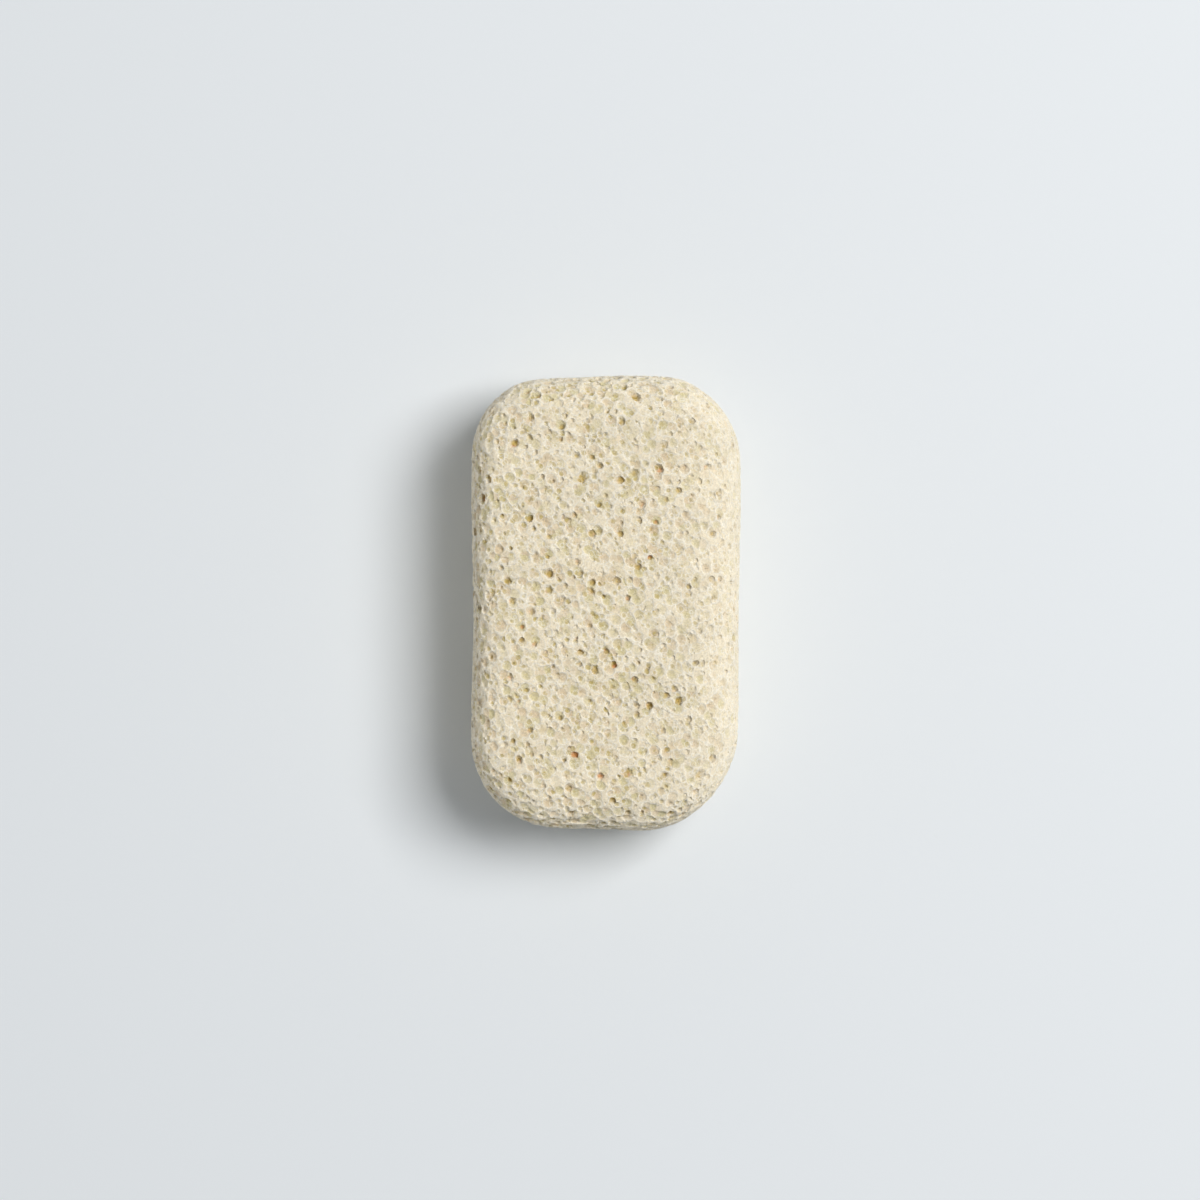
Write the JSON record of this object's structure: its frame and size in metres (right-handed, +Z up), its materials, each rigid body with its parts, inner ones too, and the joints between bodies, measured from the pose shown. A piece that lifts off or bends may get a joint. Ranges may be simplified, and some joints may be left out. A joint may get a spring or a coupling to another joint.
{
  "type": "pumice stone",
  "caption": "Rounded rectangular bar of natural pumice, open-pored all over, held in the hand to rub down hard skin.",
  "frame": {"origin": "middle of the stone's footprint, on the surface that it rests on", "axes": "+Z up, out of the broad top face; +Y along the stone's length; +X across its width"},
  "size_m": [0.0534, 0.09, 0.033],
  "materials": {
    "pumice": "matte cream volcanic glass foam, open-pored and rough, with olive and rust tints deep in its pores"
  },
  "bodies": {
    "root": {"pumice_stone": "pumice"}
  },
  "joints": []
}
